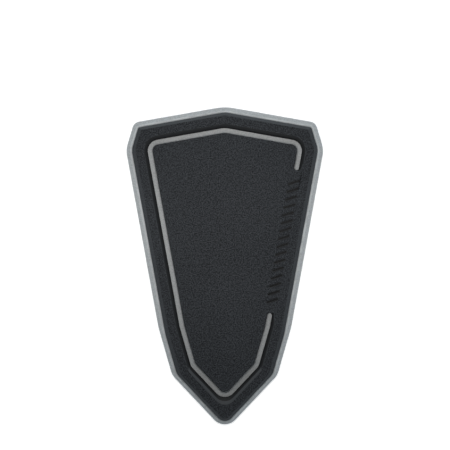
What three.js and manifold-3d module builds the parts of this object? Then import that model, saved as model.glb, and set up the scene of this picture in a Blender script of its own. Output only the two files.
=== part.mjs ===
// Motorcycle tank pad: a black grip layer on a larger grey layer, with an adhesive film on the back.
// Millimetres. X across the pad, +Y towards its broad end, +Z away from the tank.
// The origin is the middle of the back face, where the pad meets the tank.
import * as THREE from "three";
import { mergeVertices } from "three/addons/utils/BufferGeometryUtils.js";
import Module from "manifold-3d";

const wasm = await Module();
wasm.setup();

// Outline of the pad, corner to corner before rounding: heights from the tip up, then widths
const tipRise = 37.1;
const lowerRise = 31.8;
const sideRise = 117.6;
const shoulderRise = 18;
const apexRise = 10.6;
const padWidth = 131;
const sideSetIn = 21.5;
const lowerSetIn = 9.1;
const shoulderSetIn = 5.4;

// Corner radii of the outline, and how many times faster those at the apex and the tip shrink on the
// layers set in
const tipRadius = 9.7;
const lowerRadius = 13;
const kneeRadius = 30;
const widestRadius = 18;
const shoulderRadius = 5.3;
const apexRadius = 38;
const apexTightening = 5;
const tipTightening = 1.25;
const leastRadius = 0.8;

// Layers, from the tank outwards
const filmThickness = 0.5;
const filmSetBack = 0.8;
const baseThickness = 2;
const baseLip = 0.8;
const coverThickness = 2.1;
const coverLip = 0.7;

// Grey rim left bare round the black layer, and the level strip along its inner edge
const rimTop = 3.8;
const rimShoulder = 3.7;
const rimSide = 3.7;
const rimLower = 3.2;
const rimBottom = 2.8;
const rimLedge = 1;

// Chamfer of the black layer's outer edge
const chamferTop = 1.8;
const chamferShoulder = 2;
const chamferSide = 2.3;
const chamferLower = 2.4;
const chamferBottom = 1.6;

// Groove through the black layer: its floor's outer edge set in from the edge of the pad, its width, a
// little more along the bottom, and the middles of its two rounded ends, below the pad's widest corner and
// above its knee on the right
const borderTop = 14;
const borderSide = 14;
const borderLower = 13.7;
const borderBottom = 13.2;
const grooveWidth = 3.05;
const grooveWidthBottom = 3.4;
const upperEndDrop = 12;
const lowerEndRise = 7.8;

// Corner radii along the outer edge of the groove's floor, and the radius of its inner edge at the tip
const grooveTipRadius = 7.7;
const innerTipRadius = 4.3;
const grooveLowerRadius = 6;
const grooveKneeRadius = 14;
const grooveUpperRadius = 7.4;
const grooveApexRadius = 14;

// Walls of the groove: outside a sloped foot with a flatter slope above it, both wider along the bottom of
// the pad, and inside a slight draft. Near the ends the outer wall tapers to a share of its width, and it dies
// out round the end.
const footHeight = 1.4;
const footRun = 1.5;
const footRunBottom = 1.9;
const slopeRun = 1;
const slopeRunBottom = 1.5;
const innerDraft = 0.2;
const endShare = 0.65;
const endTaper = 5;

// Row of narrow slanted grip marks, between the two ends of the groove: their length and width at the
// mouth, their depth and the draft of their walls
const markLength = 8.4;
const markWidth = 1.5;
const markDepth = 1;
const markDraft = 0.1;
const markPitch = 5.3;
const markSlant = 28;
const markClearance = 7.5;

// Facets of a rounded corner, of a half turn and of a taper, and how far a cutter runs past the face that
// it cuts
const cornerFacets = 10;
const turnFacets = 12;
const taperFacets = 5;
const overrun = 1;

// Surface finish
const blackRubber = { color: 0x2f3235, roughness: 0.85, metalness: 0 };
const greyRubber = { color: 0x8d9194, roughness: 0.75, metalness: 0 };
const clearFilm = { color: 0xd9d4c4, roughness: 0.5, metalness: 0 };

const baseZ = filmThickness;
const coverZ = baseZ + baseThickness;
const frontZ = coverZ + coverThickness;

const at = (x, y) => new THREE.Vector2(x, y);

// A closed outline, anticlockwise from the apex: its left half as given, its right half mirrored from that
function mirrored(left) {
  const right = left.slice(1, -1).reverse();
  return [...left, ...right.map((corner) => at(-corner.x, corner.y))];
}

// Values for the edges, and for the corners, of such an outline
const forEdges = (left) => [...left, ...left.slice().reverse()];
const forCorners = (left) => [...left, ...left.slice(1, -1).reverse()];

// Where the line from p along u meets the line from q along v
function crossing(p, u, q, v) {
  const reach = q.clone().sub(p).cross(v) / u.cross(v);
  return p.clone().addScaledVector(u, reach);
}

// An outline with each edge moved inwards by a distance of its own
function inset(corners, distances) {
  const count = corners.length;
  const edges = corners.map((corner, i) => {
    const along = corners[(i + 1) % count].clone().sub(corner).normalize();
    const start = corner.clone().addScaledVector(at(-along.y, along.x), distances[i]);
    return { start, along };
  });
  return edges.map((edge, i) => {
    const before = edges[(i + count - 1) % count];
    return crossing(before.start, before.along, edge.start, edge.along);
  });
}

// Points on an arc, from start round centre by an angle
function arc(centre, start, angle, facets) {
  return Array.from({ length: facets + 1 }, (_, i) =>
    start.clone().rotateAround(centre, (angle * i) / facets));
}

// Each corner of a closed outline as an arc that touches both of its edges
function rounded(corners, radii) {
  const count = corners.length;
  return corners.map((corner, i) => {
    const back = corners[(i + count - 1) % count].clone().sub(corner).normalize();
    const ahead = corners[(i + 1) % count].clone().sub(corner).normalize();
    const half = Math.acos(back.dot(ahead)) / 2;
    const middle = back.clone().add(ahead).normalize();
    const centre = corner.clone().addScaledVector(middle, radii[i] / Math.sin(half));
    const start = corner.clone().addScaledVector(back, radii[i] / Math.tan(half));
    const turn = Math.sign(ahead.cross(back)) * (Math.PI - 2 * half);
    return arc(centre, start, turn, cornerFacets);
  });
}

// How much a sharp corner loses along its middle line when it is rounded
const roundingLoss = (radius, halfAngle) => radius * (1 / Math.sin(halfAngle) - 1);

// Sharp corners of the pad: apex, shoulder, widest point, knee, lower corner and tip. Once rounded, the
// outline reaches as far above the origin as below it.
function cornersOfPad() {
  const half = padWidth / 2;
  const lowerHalf = half - sideSetIn - lowerSetIn;
  const shoulderHalf = half - shoulderSetIn;
  const length = tipRise + lowerRise + sideRise + shoulderRise + apexRise;
  const tipLoss = roundingLoss(tipRadius, Math.atan2(lowerHalf, tipRise));
  const apexLoss = roundingLoss(apexRadius, Math.atan2(shoulderHalf, apexRise));
  const tip = at(0, (apexLoss - tipLoss - length) / 2);
  const lower = at(-lowerHalf, tip.y + tipRise);
  const knee = at(sideSetIn - half, lower.y + lowerRise);
  const widest = at(-half, knee.y + sideRise);
  const shoulder = at(-shoulderHalf, widest.y + shoulderRise);
  const apex = at(0, shoulder.y + apexRise);
  return mirrored([apex, shoulder, widest, knee, lower, tip]);
}
const padCorners = cornersOfPad();

// The pad's outline set in along each kind of edge, with its corner radii smaller by as much, and those at
// the apex and the tip by more
function padOutline(top, shoulder, side, lower, bottom) {
  const sharp = inset(padCorners, forEdges([top, shoulder, side, lower, bottom]));
  const radii = [
    apexRadius - apexTightening * top,
    shoulderRadius - shoulder,
    widestRadius - side,
    kneeRadius - side,
    lowerRadius - lower,
    tipRadius - tipTightening * bottom,
  ];
  return rounded(sharp, forCorners(radii.map((radius) => Math.max(radius, leastRadius)))).flat();
}

const evenOutline = (distance) => padOutline(distance, distance, distance, distance, distance);

// A closed solid through outlines at rising heights, all with the same number of points
function stack(levels) {
  const count = levels[0].outline.length;
  const points = levels.flatMap(({ outline, z }) => outline.flatMap((p) => [p.x, p.y, z]));
  const faces = [];
  for (let level = 0; level < levels.length - 1; level += 1) {
    for (let i = 0; i < count; i += 1) {
      const a = level * count + i;
      const b = level * count + ((i + 1) % count);
      faces.push(a, b, b + count, a, b + count, a + count);
    }
  }
  const first = THREE.ShapeUtils.triangulateShape(levels[0].outline, []);
  const last = THREE.ShapeUtils.triangulateShape(levels.at(-1).outline, []);
  const lastStart = (levels.length - 1) * count;
  first.forEach(([a, b, c]) => faces.push(a, c, b));
  last.forEach(([a, b, c]) => faces.push(lastStart + a, lastStart + b, lastStart + c));
  const geometry = new THREE.BufferGeometry();
  geometry.setAttribute("position", new THREE.Float32BufferAttribute(points, 3));
  geometry.setIndex(faces);
  return geometry;
}

// A geometry as a solid for cutting
function solid(geometry) {
  const bare = geometry.clone();
  bare.deleteAttribute("normal");
  bare.deleteAttribute("uv");
  const merged = mergeVertices(bare);
  return new wasm.Manifold(new wasm.Mesh({
    numProp: 3,
    vertProperties: merged.attributes.position.array,
    triVerts: new Uint32Array(merged.index.array),
  }));
}

// What is left of a body once the cutters are taken away
function cut(body, cutters) {
  const left = cutters.reduce((rest, cutter) => rest.subtract(solid(cutter)), solid(body));
  const { vertProperties, triVerts } = left.getMesh();
  const geometry = new THREE.BufferGeometry();
  geometry.setAttribute("position", new THREE.BufferAttribute(vertProperties, 3));
  geometry.setIndex(new THREE.BufferAttribute(triVerts, 1));
  return geometry;
}

// Sharp corners of the outer edge of the groove's floor. It has no shoulder facet, so the lines beside the
// top edge and the long side run on until they meet.
function cornersOfGroove() {
  const bands = forEdges([borderTop, borderSide, borderSide, borderLower, borderBottom]);
  const [apex, shoulder, widest, knee, lower, tip] = inset(padCorners, bands);
  const alongTop = shoulder.clone().sub(apex);
  const alongSide = widest.clone().sub(knee);
  const upper = crossing(apex, alongTop, knee, alongSide);
  return mirrored([apex, upper, knee, lower, tip]);
}
const grooveCorners = cornersOfGroove();
const [, , , , , , kneeRight, upperRight] = grooveCorners;

// The right side of the groove: which way it runs, and the middles of its two rounded ends
const upward = upperRight.clone().sub(kneeRight).normalize();
const outward = at(upward.y, -upward.x);
function endAt(height) {
  const middle = kneeRight.clone().addScaledVector(outward, -grooveWidth / 2);
  return middle.addScaledVector(upward, (height - middle.y) / upward.y);
}
const [, , widestCorner, kneeCorner] = padCorners;
const upperEnd = endAt(widestCorner.y - upperEndDrop);
const lowerEnd = endAt(kneeCorner.y + lowerEndRise);

// One long edge of the groove, anticlockwise from the upper right corner to the knee on the right. The
// distances are measured inwards from the floor's outer edge.
function longEdge(distance, atBottom) {
  const sharp = inset(grooveCorners, forEdges([distance, distance, distance, atBottom]));
  const radii = [
    grooveApexRadius - distance,
    grooveUpperRadius - distance,
    grooveKneeRadius - distance,
    grooveLowerRadius - distance,
    distance > 0 ? innerTipRadius : grooveTipRadius,
  ];
  const arcs = rounded(sharp, forCorners(radii.map((radius) => Math.max(radius, leastRadius))));
  return [arcs.at(-1), ...arcs.slice(0, -1)].flat();
}

// A round end of the groove: a half turn from one wall to the other, whose reach changes on the way
function roundEnd(middle, towards, firstReach, lastReach) {
  return Array.from({ length: turnFacets + 1 }, (_, i) => {
    const reach = THREE.MathUtils.lerp(firstReach, lastReach, i / turnFacets);
    const spoke = towards.clone().rotateAround(at(0, 0), (Math.PI * i) / turnFacets);
    return middle.clone().addScaledVector(spoke, reach);
  });
}

// The outer wall near a round end: its reach from the middle line grows smoothly over a length
function taper(middle, length, endReach, fullReach) {
  return Array.from({ length: taperFacets }, (_, i) => {
    const share = (i + 1) / taperFacets;
    const reach = THREE.MathUtils.lerp(endReach, fullReach, THREE.MathUtils.smoothstep(share, 0, 1));
    return middle.clone().addScaledVector(upward, length * share).addScaledVector(outward, reach);
  });
}

// The whole outline of the groove at one height: how far the outer wall, the outer wall along the bottom
// of the pad and the inner wall stand back from the floor
function grooveOutline(outer, outerBottom, inner) {
  const half = grooveWidth / 2;
  const endOuter = half + outer * endShare;
  const endInner = half + inner;
  return [
    ...taper(upperEnd, endTaper, endOuter, half + outer),
    ...longEdge(-outer, -outerBottom),
    ...taper(lowerEnd, -endTaper, endOuter, half + outer).reverse(),
    ...roundEnd(lowerEnd, outward, endOuter, endInner),
    ...longEdge(grooveWidth + inner, grooveWidthBottom + inner).reverse(),
    ...roundEnd(upperEnd, outward.clone().negate(), endInner, endOuter),
  ];
}

function groove() {
  const floor = grooveOutline(0, 0, 0);
  const foot = grooveOutline(footRun, footRunBottom, (innerDraft * footHeight) / coverThickness);
  const mouth = grooveOutline(footRun + slopeRun, footRunBottom + slopeRunBottom, innerDraft);
  return stack([
    { z: coverZ - overrun, outline: floor },
    { z: coverZ, outline: floor },
    { z: coverZ + footHeight, outline: foot },
    { z: frontZ, outline: mouth },
    { z: frontZ + overrun, outline: mouth },
  ]);
}

// A grip mark: a round-ended slot, slanted across the line between the ends of the groove
function mark(middle) {
  const lean = outward.clone().rotateAround(at(0, 0), THREE.MathUtils.degToRad(markSlant));
  const reach = (markLength - markWidth) / 2;
  const near = middle.clone().addScaledVector(lean, -reach);
  const far = middle.clone().addScaledVector(lean, reach);
  const slot = (halfWidth) => {
    const side = at(-lean.y, lean.x).multiplyScalar(halfWidth);
    return [
      ...arc(far, far.clone().sub(side), Math.PI, turnFacets),
      ...arc(near, near.clone().add(side), Math.PI, turnFacets),
    ];
  };
  const mouth = slot(markWidth / 2);
  return stack([
    { z: frontZ - markDepth, outline: slot(markWidth / 2 - markDraft) },
    { z: frontZ, outline: mouth },
    { z: frontZ + overrun, outline: mouth },
  ]);
}

// As many marks as fit between the ends, centred there
function marks() {
  const room = upperEnd.distanceTo(lowerEnd) - grooveWidth - 2 * markClearance;
  const gaps = Math.max(Math.floor(room / markPitch), 0);
  const centre = upperEnd.clone().lerp(lowerEnd, 0.5);
  return Array.from({ length: gaps + 1 }, (_, i) =>
    mark(centre.clone().addScaledVector(upward, (i - gaps / 2) * markPitch)));
}

function blackCover() {
  const edge = padOutline(rimTop, rimShoulder, rimSide, rimLower, rimBottom);
  const front = padOutline(
    rimTop + chamferTop,
    rimShoulder + chamferShoulder,
    rimSide + chamferSide,
    rimLower + chamferLower,
    rimBottom + chamferBottom,
  );
  const body = stack([
    { z: coverZ, outline: edge },
    { z: coverZ + coverLip, outline: edge },
    { z: frontZ, outline: front },
  ]);
  return cut(body, [groove(), ...marks()]);
}

function greyBase() {
  const edge = evenOutline(0);
  const ledge = padOutline(
    rimTop - rimLedge,
    rimShoulder - rimLedge,
    rimSide - rimLedge,
    rimLower - rimLedge,
    rimBottom - rimLedge,
  );
  return stack([
    { z: baseZ, outline: edge },
    { z: baseZ + baseLip, outline: edge },
    { z: coverZ, outline: ledge },
  ]);
}

function adhesiveFilm() {
  const outline = evenOutline(filmSetBack);
  return stack([
    { z: 0, outline },
    { z: filmThickness, outline },
  ]);
}

function piece(name, geometry, finish) {
  geometry.computeVertexNormals();
  const mesh = new THREE.Mesh(geometry, new THREE.MeshStandardMaterial(finish));
  mesh.name = name;
  return mesh;
}

const tankPad = new THREE.Group();
tankPad.add(piece("adhesive_film", adhesiveFilm(), clearFilm));
tankPad.add(piece("grey_base", greyBase(), greyRubber));
tankPad.add(piece("black_cover", blackCover(), blackRubber));

export default tankPad;
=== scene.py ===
# Motorcycle tank pad, lying face up as it is before it is stuck to a tank. Metres, in the frame of its
# solids: X across the pad, +Y towards its broad end, +Z away from the tank.
import math

import bmesh
import bpy
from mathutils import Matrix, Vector


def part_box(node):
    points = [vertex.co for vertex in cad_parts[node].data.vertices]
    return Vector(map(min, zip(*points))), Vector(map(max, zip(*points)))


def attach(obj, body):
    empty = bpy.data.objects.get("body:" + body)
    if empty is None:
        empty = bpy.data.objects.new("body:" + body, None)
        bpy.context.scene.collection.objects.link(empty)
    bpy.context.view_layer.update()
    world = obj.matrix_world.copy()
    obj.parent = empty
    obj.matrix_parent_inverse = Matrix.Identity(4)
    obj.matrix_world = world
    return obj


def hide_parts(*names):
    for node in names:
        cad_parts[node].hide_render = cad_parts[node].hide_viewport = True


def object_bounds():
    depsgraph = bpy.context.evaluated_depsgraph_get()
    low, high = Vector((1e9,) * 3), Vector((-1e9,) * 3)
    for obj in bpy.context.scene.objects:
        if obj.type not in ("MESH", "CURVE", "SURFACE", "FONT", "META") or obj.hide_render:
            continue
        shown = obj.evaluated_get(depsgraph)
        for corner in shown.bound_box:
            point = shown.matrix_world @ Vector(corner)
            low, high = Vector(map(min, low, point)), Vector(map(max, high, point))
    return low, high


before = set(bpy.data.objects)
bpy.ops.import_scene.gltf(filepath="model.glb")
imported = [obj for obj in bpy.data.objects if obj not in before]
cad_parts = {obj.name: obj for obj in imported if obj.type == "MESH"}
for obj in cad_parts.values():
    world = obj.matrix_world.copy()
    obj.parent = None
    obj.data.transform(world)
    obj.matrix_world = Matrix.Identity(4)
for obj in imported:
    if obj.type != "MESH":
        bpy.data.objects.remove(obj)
solid_low, solid_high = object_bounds()


# Adhesive film: a clear acrylic sheet, die-cut a little smaller than the rubber and laid on its back. Its
# surface is dull and tacky, with a faint drag pattern along the sheet from the coating of the glue.
mm = 0.001
film_colour = (0.60, 0.58, 0.52, 1)
film_streak_colour = (0.68, 0.66, 0.60, 1)
film_streaks = 240
film_streak_stretch = (1, 0.06, 1)
film_roughness = (0.42, 0.6)
film_relief = 0.02 * mm
column_step = 200
row_step = -220


def add_node(tree, kind, column, row, inputs=None, **settings):
    """A shader node in its place on the sheet, with its settings and the values of its inputs."""
    made = tree.nodes.new("ShaderNode" + kind)
    made.location = (column * column_step, row * row_step)
    for name, value in settings.items():
        setattr(made, name, value)
    for name, value in (inputs or {}).items():
        made.inputs[name].default_value = value
    return made


def spread(tree, source, column, row, lowest, highest, come_from=(0, 1)):
    """A varying value stretched to run from lowest to highest."""
    values = {
        "From Min": come_from[0], "From Max": come_from[1],
        "To Min": lowest, "To Max": highest,
    }
    made = add_node(tree, "MapRange", column, row, values)
    tree.links.new(source, made.inputs["Value"])
    return made.outputs["Result"]


def blend_colours(tree, share, column, row, first, second):
    """Two colours, or one colour and the output of a node, mixed by a varying share."""
    made = add_node(tree, "Mix", column, row, data_type="RGBA")
    ends = [socket for socket in made.inputs if socket.type == "RGBA"]
    for end, colour in zip(ends, (first, second)):
        if isinstance(colour, tuple):
            end.default_value = colour
        else:
            tree.links.new(colour, end)
    tree.links.new(share, made.inputs["Factor"])
    return next(socket for socket in made.outputs if socket.type == "RGBA")


def new_material(name, **fixed):
    """A new material, its nodes and its shader, with fixed values set on the shader's own sockets."""
    made = bpy.data.materials.new(name)
    made.use_nodes = True
    shader = made.node_tree.nodes["Principled BSDF"]
    for label, value in fixed.items():
        shader.inputs[label.replace("_", " ")].default_value = value
    return made, made.node_tree, shader


def add_relief(tree, shader, height, depth):
    """Fine relief of a surface, as tall as depth where the height is one."""
    bump = add_node(tree, "Bump", -1, 3, {"Strength": 1, "Distance": depth})
    tree.links.new(height, bump.inputs["Height"])
    tree.links.new(bump.outputs["Normal"], shader.inputs["Normal"])


film_material, film_tree, film_shader = new_material("acrylic_film", IOR=1.47)
film_place = add_node(film_tree, "TexCoord", -6, 1)
film_stretch = add_node(film_tree, "Mapping", -5, 1, {"Scale": film_streak_stretch})
film_drag = add_node(film_tree, "TexNoise", -4, 1, {"Scale": film_streaks, "Detail": 3})
film_tree.links.new(film_place.outputs["Object"], film_stretch.inputs["Vector"])
film_tree.links.new(film_stretch.outputs["Vector"], film_drag.inputs["Vector"])
film_tint = blend_colours(
    film_tree, film_drag.outputs["Fac"], -2, 0, film_colour, film_streak_colour)
film_dullness = spread(film_tree, film_drag.outputs["Fac"], -2, 1, *film_roughness)
film_tree.links.new(film_tint, film_shader.inputs["Base Color"])
film_tree.links.new(film_dullness, film_shader.inputs["Roughness"])
add_relief(film_tree, film_shader, film_drag.outputs["Fac"], film_relief)

adhesive_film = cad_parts["adhesive_film"]
adhesive_film.data.materials.clear()
adhesive_film.data.materials.append(film_material)


# Grey base: the lower rubber layer, moulded with a short upright lip and a slope up to a level ledge, where
# the black layer is bonded on. It shows as the rim of the pad and as the floor of the groove. Its edges are
# painted lighter, and so is the strip of ledge left bare along the sides, up to strip_end: a painted
# highlight.
grey_dark = (0.222, 0.231, 0.238, 1)
grey_light = (0.296, 0.308, 0.318, 1)
# The edge colour is a painted highlight, on the rounded edges and on the bare strip of ledge.
grey_edge_highlight_colour = (0.425, 0.445, 0.46, 1)
grey_highlight_amount = 0.6
grey_fleck = 1100
grey_cloud = 30
grey_roughness = (0.6, 0.72)
grey_relief = 0.02 * mm
grey_rounding = 0.4 * mm
strip_width = 0.6 * mm
strip_end = 75 * mm

# Noises behind the flecks, the clouds and the patches of the lighter edges, rubbed on the black and a
# painted
# highlight on the grey: the part of each noise that is put to use, how much the clouds lighten or darken,
# how fine the patches are, and how light the least lightened edge still is
fleck_noise = (0.36, 0.64)
cloud_noise = (0.3, 0.7)
cloud_depth = 0.05
patch_noise = (0.35, 0.65)
patch_scale = 160
least_lightened = 0.15

# Whole faces and rounded edges: steps of a rounding, the angles under which faces are shaded as one surface
# or merged into one, the gap that merging closes, and the least upward normal of a level face
edge_segments = 3
sharpest_smooth = math.radians(17)
flat_enough = math.radians(0.2)
join_distance = 0.001 * mm
level_normal = 0.999


def only(piece):
    """Nothing selected but this piece, which becomes the active one."""
    bpy.ops.object.select_all(action="DESELECT")
    piece.select_set(True)
    bpy.context.view_layer.objects.active = piece


def note_faces(piece, name, share):
    """A face attribute that holds the share of each face, from nought to one."""
    layer = piece.data.attributes.new(name, "FLOAT", "FACE")
    layer.data.foreach_set("value", [float(share(face)) for face in piece.data.polygons])


def moulded_copy(node, name, rounding):
    """A copy of a solid with whole faces and its outward edges rounded. Those of its underside stay sharp,
    where it lies on the layer below. Its face attribute called edge is one on the roundings."""
    piece = bpy.data.objects.new(name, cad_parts[node].data.copy())
    bpy.context.scene.collection.objects.link(piece)
    only(piece)
    bpy.ops.object.mode_set(mode="EDIT")
    bpy.ops.mesh.select_all(action="SELECT")
    bpy.ops.mesh.remove_doubles(threshold=join_distance)
    bpy.ops.mesh.dissolve_limited(angle_limit=flat_enough)
    bpy.ops.mesh.select_all(action="DESELECT")
    bpy.ops.mesh.select_mode(type="EDGE")
    bpy.ops.mesh.edges_select_sharp(sharpness=sharpest_smooth)
    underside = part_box(node)[0].z + join_distance
    shape = bmesh.from_edit_mesh(piece.data)
    for edge in shape.edges:
        if not edge.is_convex or all(point.co.z < underside for point in edge.verts):
            edge.select = False
    bmesh.update_edit_mesh(piece.data)
    bpy.ops.mesh.bevel(offset=rounding, segments=edge_segments, affect="EDGES")
    bpy.ops.mesh.remove_doubles(threshold=join_distance)
    bpy.ops.object.mode_set(mode="OBJECT")
    note_faces(piece, "edge", lambda face: face.select and face.normal.z < level_normal)
    bpy.ops.object.shade_smooth_by_angle(angle=sharpest_smooth)
    bpy.ops.object.modifier_add(type="WEIGHTED_NORMAL")
    piece.modifiers[-1].keep_sharp = True
    bpy.ops.object.modifier_apply(modifier=piece.modifiers[-1].name)
    piece.data.materials.clear()
    return piece


def start_group(name, inputs, outputs):
    """A node group with its named inputs and outputs, and its two end nodes."""
    group = bpy.data.node_groups.new(name, "ShaderNodeTree")
    for label in inputs:
        group.interface.new_socket(label, in_out="INPUT", socket_type="NodeSocketFloat")
    for label in outputs:
        group.interface.new_socket(label, in_out="OUTPUT", socket_type="NodeSocketFloat")
    ends = group.nodes.new("NodeGroupInput"), group.nodes.new("NodeGroupOutput")
    return group, *ends


def flecks_group():
    """Light and dark flecks of filler in the rubber, with a faint clouding from the mixing."""
    group, given, out = start_group("rubber_flecks", ["Scale", "Cloud Scale"], ["Fleck"])
    place = add_node(group, "TexCoord", -5, 1)
    fine = add_node(group, "TexNoise", -3, 0, {"Detail": 2, "Roughness": 0.6})
    cloud = add_node(group, "TexNoise", -3, 1, {"Detail": 2})
    for noise, scale in ((fine, "Scale"), (cloud, "Cloud Scale")):
        group.links.new(place.outputs["Object"], noise.inputs["Vector"])
        group.links.new(given.outputs[scale], noise.inputs["Scale"])
    fleck = spread(group, fine.outputs["Fac"], -2, 0, 0, 1, come_from=fleck_noise)
    drift = spread(group, cloud.outputs["Fac"], -2, 1, -cloud_depth, cloud_depth, come_from=cloud_noise)
    both = add_node(group, "Math", -1, 0, operation="ADD", use_clamp=True)
    group.links.new(fleck, both.inputs[0])
    group.links.new(drift, both.inputs[1])
    group.links.new(both.outputs["Value"], out.inputs["Fleck"])
    return group


def rubbed_and_highlit_group():
    """Lighter edges: rubbed by handling on the black cover, a painted highlight on the grey base, broken up
    along them by a slow noise.
    """
    group, given, out = start_group("rubbed_and_highlit_edges", ["Amount"], ["Mask"])
    place = add_node(group, "TexCoord", -5, 1)
    edge = add_node(group, "Attribute", -3, 0, attribute_name="edge")
    patches = add_node(group, "TexNoise", -4, 1, {"Scale": patch_scale, "Detail": 3})
    group.links.new(place.outputs["Object"], patches.inputs["Vector"])
    patch = spread(group, patches.outputs["Fac"], -3, 1, least_lightened, 1, come_from=patch_noise)
    lightened = add_node(group, "Math", -2, 0, operation="MULTIPLY")
    share = add_node(group, "Math", -1, 0, operation="MULTIPLY", use_clamp=True)
    group.links.new(edge.outputs["Fac"], lightened.inputs[0])
    group.links.new(patch, lightened.inputs[1])
    group.links.new(lightened.outputs["Value"], share.inputs[0])
    group.links.new(given.outputs["Amount"], share.inputs[1])
    group.links.new(share.outputs["Value"], out.inputs["Mask"])
    return group


def place_group(tree, group, column, row, inputs):
    """A shared effect in a material, with the material's own values."""
    return add_node(tree, "Group", column, row, inputs, node_tree=group)


rubber_flecks = flecks_group()
rubbed_and_highlit_edges = rubbed_and_highlit_group()

grey_material, grey_tree, grey_shader = new_material("grey_rubber", Specular_IOR_Level=0.2)
grey_flecks = place_group(
    grey_tree, rubber_flecks, -5, 0, {"Scale": grey_fleck, "Cloud Scale": grey_cloud})
grey_edge_highlight = place_group(grey_tree, rubbed_and_highlit_edges, -4, 1, {"Amount": grey_highlight_amount})
grey_fleck_share = grey_flecks.outputs["Fleck"]
grey_body = blend_colours(grey_tree, grey_fleck_share, -3, 0, grey_dark, grey_light)
# The painted highlight goes on the rounded edges and on the bare strip of ledge.
grey_tint = blend_colours(grey_tree, grey_edge_highlight.outputs["Mask"], -2, 0, grey_body, grey_edge_highlight_colour)
grey_dullness = spread(grey_tree, grey_fleck_share, -2, 1, *grey_roughness)
grey_tree.links.new(grey_tint, grey_shader.inputs["Base Color"])
grey_tree.links.new(grey_dullness, grey_shader.inputs["Roughness"])
add_relief(grey_tree, grey_shader, grey_fleck_share, grey_relief)

grey_base = moulded_copy("grey_base", "grey_rubber_base", grey_rounding)
only(grey_base)
bpy.ops.object.mode_set(mode="EDIT")
bpy.ops.mesh.select_mode(type="FACE")
bpy.ops.mesh.select_all(action="DESELECT")
bpy.ops.object.mode_set(mode="OBJECT")
top_face = max(grey_base.data.polygons, key=lambda face: (face.normal.z > level_normal) * face.area)
top_face.select = True
bpy.ops.object.mode_set(mode="EDIT")
bpy.ops.mesh.inset(thickness=strip_width, depth=0)
bpy.ops.object.mode_set(mode="OBJECT")
# The bare strip of ledge along the sides gets the painted highlight of the edges too.
strip = [face for face in grey_base.data.polygons
         if face.normal.z > level_normal and not face.select and face.center.y < strip_end]
for face in strip:
    grey_base.data.attributes["edge"].data[face.index].value = 1
grey_base.data.materials.append(grey_material)
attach(grey_base, "root")
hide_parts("grey_base")


# Black cover: the grip layer, one moulded rubber sheet bonded to the grey one. The fine pebbled grain of its
# face grows faint on the slopes along its sides, and the slopes across its ends and the marks are smooth.
# What lies deep, in the groove and in the marks, gets painted shade: a darker colour in place of the shade
# there.
black_dark = (0.0025, 0.003, 0.0038, 1)
black_light = (0.0333, 0.0362, 0.041, 1)
black_smooth_colour = (0.0295, 0.0318, 0.035, 1)
# The sunk colour is painted shade, on the walls of the groove and on the marks.
black_painted_shade_colour = (0.0065, 0.007, 0.0078, 1)
black_edge_colour = (0.034, 0.0365, 0.04, 1)
black_rub_amount = 0.35
black_rounding = 0.2 * mm
black_fleck = 1330
black_cloud = 18
smooth_roughness = 0.52
grained_roughness = 0.74

# Grain: how fine and how tall its pebbles are, how a noise shifts them, the part of each pebble's width that
# its dome takes, and the share of the grain on the walls of the groove and on the chamfer along the sides
grain_scale = 1200
grain_depth = 0.16 * mm
grain_warp = 400
grain_shift = 0.6 * mm
pebble_span = (0.05, 0.65)
grain_on_slopes = 0.75
grain_on_chamfer = 0.35

# Where painted shade goes, on the walls of the groove and of the marks: the widest space between two walls,
# the widest one in a mark, how far below the face the foot of a wall starts, the upward normal under which a
# wall is steep, larger for walls that look away from the broad end, so that these are shaded over their
# whole width, and the lean past which a wall looks along the pad, not across it
widest_gap = 8 * mm
widest_mark = 2 * mm
slope_depth = 0.7 * mm
steep = 0.82
steep_at_broad_end = 0.995
along_pad = 0.4
face_height = solid_high.z - join_distance
foot_height = solid_high.z - slope_depth


def grain_group():
    """Pebbles of a moulded grain, on the faces whose attribute called grained isn't nought."""
    group, given, out = start_group("moulded_grain", ["Scale"], ["Height", "Face"])
    place = add_node(group, "TexCoord", -6, 1)
    warp = add_node(group, "TexNoise", -5, 0, {"Scale": grain_warp, "Detail": 1})
    bend = add_node(group, "VectorMath", -4, 0, operation="MULTIPLY_ADD")
    bend.inputs[1].default_value = (grain_shift, grain_shift, grain_shift)
    pebble = add_node(group, "TexVoronoi", -3, 0, {"Smoothness": 0.6}, feature="SMOOTH_F1")
    round_off = spread(group, pebble.outputs["Distance"], -2, 0, 1, 0, come_from=pebble_span)
    grained = add_node(group, "Attribute", -2, 1, attribute_name="grained")
    height = add_node(group, "Math", -1, 0, operation="MULTIPLY")
    group.links.new(place.outputs["Object"], warp.inputs["Vector"])
    group.links.new(warp.outputs["Color"], bend.inputs[0])
    group.links.new(place.outputs["Object"], bend.inputs[2])
    group.links.new(bend.outputs["Vector"], pebble.inputs["Vector"])
    group.links.new(given.outputs["Scale"], pebble.inputs["Scale"])
    group.links.new(round_off, height.inputs[0])
    group.links.new(grained.outputs["Fac"], height.inputs[1])
    group.links.new(height.outputs["Value"], out.inputs["Height"])
    group.links.new(grained.outputs["Fac"], out.inputs["Face"])
    return group


def facing(face):
    """The level direction that a sloped face of the cover looks in, and how far off the next wall there is,
    or None where no wall is near."""
    level = Vector((face.normal.x, face.normal.y, 0)).normalized()
    start = face.center + level * join_distance
    hit, place, *_ = black_cover.ray_cast(start, level, distance=widest_gap)
    return level, (place - start).length if hit else None


def gets_painted_shade(face):
    """Whether a face of the cover gets painted shade: all of a mark, the foot of a wall or a steep wall."""
    if face.normal.z > level_normal:
        return face.center.z < face_height
    level, gap = facing(face)
    if gap is None:
        return False
    limit = steep_at_broad_end if level.y < -along_pad else steep
    return gap < widest_mark or face.center.z < foot_height or 0 <= face.normal.z < limit


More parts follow.
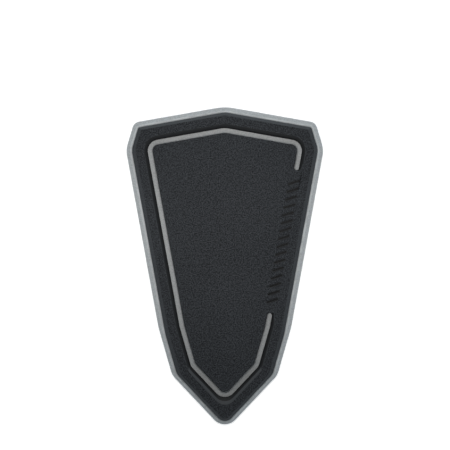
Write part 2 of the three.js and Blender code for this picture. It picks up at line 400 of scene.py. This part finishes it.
def grain_on(face):
    """The share of the grain on a face of the cover: all of it on top, less on slopes that look across the
    pad, and none on those that look along it or at the bottom of a mark."""
    if face.normal.z > level_normal:
        return face.center.z > face_height
    level, gap = facing(face)
    if abs(level.y) > along_pad:
        return 0
    return grain_on_chamfer if gap is None else grain_on_slopes


moulded_grain = grain_group()
black_material, black_tree, black_shader = new_material("black_rubber", Specular_IOR_Level=0.08)
black_flecks = place_group(
    black_tree, rubber_flecks, -7, 0, {"Scale": black_fleck, "Cloud Scale": black_cloud})
black_pebbles = place_group(black_tree, moulded_grain, -7, 1, {"Scale": grain_scale})
black_shade_mask = add_node(black_tree, "Attribute", -5, 1, attribute_name="painted_shade")
black_rub = place_group(black_tree, rubbed_and_highlit_edges, -5, 2, {"Amount": black_rub_amount})
black_face = blend_colours(black_tree, black_flecks.outputs["Fleck"], -6, 0, black_dark, black_light)
black_body = blend_colours(
    black_tree, black_pebbles.outputs["Face"], -5, 0, black_smooth_colour, black_face)
black_rubbed = blend_colours(black_tree, black_rub.outputs["Mask"], -4, 0, black_body, black_edge_colour)
# Painted shade on the deep faces of the groove and the marks.
black_tint = blend_colours(black_tree, black_shade_mask.outputs["Fac"], -3, 0, black_rubbed, black_painted_shade_colour)
black_dullness = spread(
    black_tree, black_pebbles.outputs["Face"], -3, 1, smooth_roughness, grained_roughness)
black_tree.links.new(black_tint, black_shader.inputs["Base Color"])
black_tree.links.new(black_dullness, black_shader.inputs["Roughness"])
add_relief(black_tree, black_shader, black_pebbles.outputs["Height"], grain_depth)

black_cover = moulded_copy("black_cover", "black_rubber_cover", black_rounding)
note_faces(black_cover, "grained", grain_on)
note_faces(black_cover, "painted_shade", gets_painted_shade)
black_cover.data.materials.append(black_material)
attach(black_cover, "root")
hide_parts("black_cover")


# Table: a pale table under the pad, which looks white to the camera, like the surroundings. Its glow fills
# up what the lamps leave out, so it grows away from the place that they light best.
table_width = 8
table_gap = 0.02 * mm
table_colour = (0.7, 0.7, 0.7, 1)
table_glow = (0.45, 1)
glow_reach = (0.07, 0.3)
brightest_place = (0, 0.045, 0)
white = (1, 1, 1, 1)


def seen_directly(tree, column, row):
    """One for what the camera sees, straight on, in a reflection or through a clear piece, and nought for
    the light that a surface throws on the pad."""
    path = add_node(tree, "LightPath", column, row)
    seen = path.outputs["Is Camera Ray"]
    for kind in ("Is Glossy Ray", "Is Transmission Ray"):
        either = add_node(tree, "Math", column + 1, row, operation="MAXIMUM")
        tree.links.new(seen, either.inputs[0])
        tree.links.new(path.outputs[kind], either.inputs[1])
        seen = either.outputs["Value"]
    return seen


bpy.ops.object.select_all(action="DESELECT")
bpy.ops.mesh.primitive_plane_add(size=table_width, location=(0, 0, solid_low.z - table_gap))
table = bpy.context.object
table.name = "table"
table_material, table_tree, table_shader = new_material(
    "white_table", Base_Color=table_colour, Emission_Color=white, Roughness=0.9)
table_place = add_node(table_tree, "TexCoord", -6, 2)
table_distance = add_node(table_tree, "VectorMath", -5, 2, operation="DISTANCE")
table_distance.inputs[1].default_value = brightest_place
table_glowing = add_node(table_tree, "Math", -1, 1, operation="MULTIPLY")
table_tree.links.new(table_place.outputs["Object"], table_distance.inputs[0])
table_tree.links.new(seen_directly(table_tree, -4, 1), table_glowing.inputs[0])
table_tree.links.new(
    spread(table_tree, table_distance.outputs["Value"], -3, 2, *table_glow, come_from=glow_reach),
    table_glowing.inputs[1])
table_tree.links.new(table_glowing.outputs["Value"], table_shader.inputs["Emission Strength"])
table.data.materials.append(table_material)

world = bpy.data.worlds.new("surroundings")
bpy.context.scene.world = world
world.use_nodes = True
world_back = world.node_tree.nodes["Background"]
world_back.inputs["Color"].default_value = white
world.node_tree.links.new(seen_directly(world.node_tree, -3, 1), world_back.inputs["Strength"])


# Lamps: softboxes of cool daylight stand low round the pad, two beyond its broad end, one on each side and
# one beyond its tip, and light its rim and its chamfers. A small warmer one hangs close above the panel.
daylight = (0.87, 0.96, 1)
lamplight = (1, 0.97, 0.93)
middle = (0, 0, 0)


def softbox(name, place, aim, size, watts, colour):
    """A rectangular softbox at a place, turned to face a point. The camera doesn't see it."""
    lamp = bpy.data.lights.new(name, "AREA")
    lamp.shape = "RECTANGLE"
    lamp.size, lamp.size_y = size
    lamp.energy = watts
    lamp.color = colour
    box = bpy.data.objects.new(name, lamp)
    bpy.context.scene.collection.objects.link(box)
    box.location = place
    box.rotation_euler = (Vector(aim) - Vector(place)).to_track_quat("-Z", "Y").to_euler()
    box.visible_camera = False


softbox("main_softbox", (0, 0.65, 0.26), middle, size=(0.6, 0.12), watts=1.5, colour=daylight)
softbox("low_softbox", (0, 0.69, 0.1), middle, size=(0.9, 0.08), watts=2.5, colour=daylight)
softbox("left_softbox", (-0.64, 0.03, 0.09), (0, 0.03, 0), size=(0.5, 0.07), watts=2.35, colour=daylight)
softbox("right_softbox", (0.64, 0, 0.12), middle, size=(0.6, 0.08), watts=2.6, colour=daylight)
softbox("end_softbox", (0, -0.63, 0.16), middle, size=(0.5, 0.1), watts=1.6, colour=daylight)
softbox("overhead_softbox", (-0.008, 0.045, 0.172), (-0.008, 0.045, 0), size=(0.12, 0.12), watts=0.325,
        colour=lamplight)


# Camera: straight above the pad and so far off that its sides don't show. It stands a little towards the
# broad end, so that the pad lies low in the picture. The sensor's width is in millimetres.
camera_distance = 2
camera_place = (0.13 * mm, 27.1 * mm)
seen_width = 298.4 * mm
sensor_width = 36
camera_data = bpy.data.cameras.new("camera")
camera_data.type = "PERSP"
camera_data.sensor_width = sensor_width
camera_data.lens = sensor_width * camera_distance / seen_width
camera = bpy.data.objects.new("camera", camera_data)
bpy.context.scene.collection.objects.link(camera)
camera.location = (*camera_place, camera_distance)
bpy.context.scene.camera = camera
bpy.context.scene.view_settings.view_transform = "Standard"
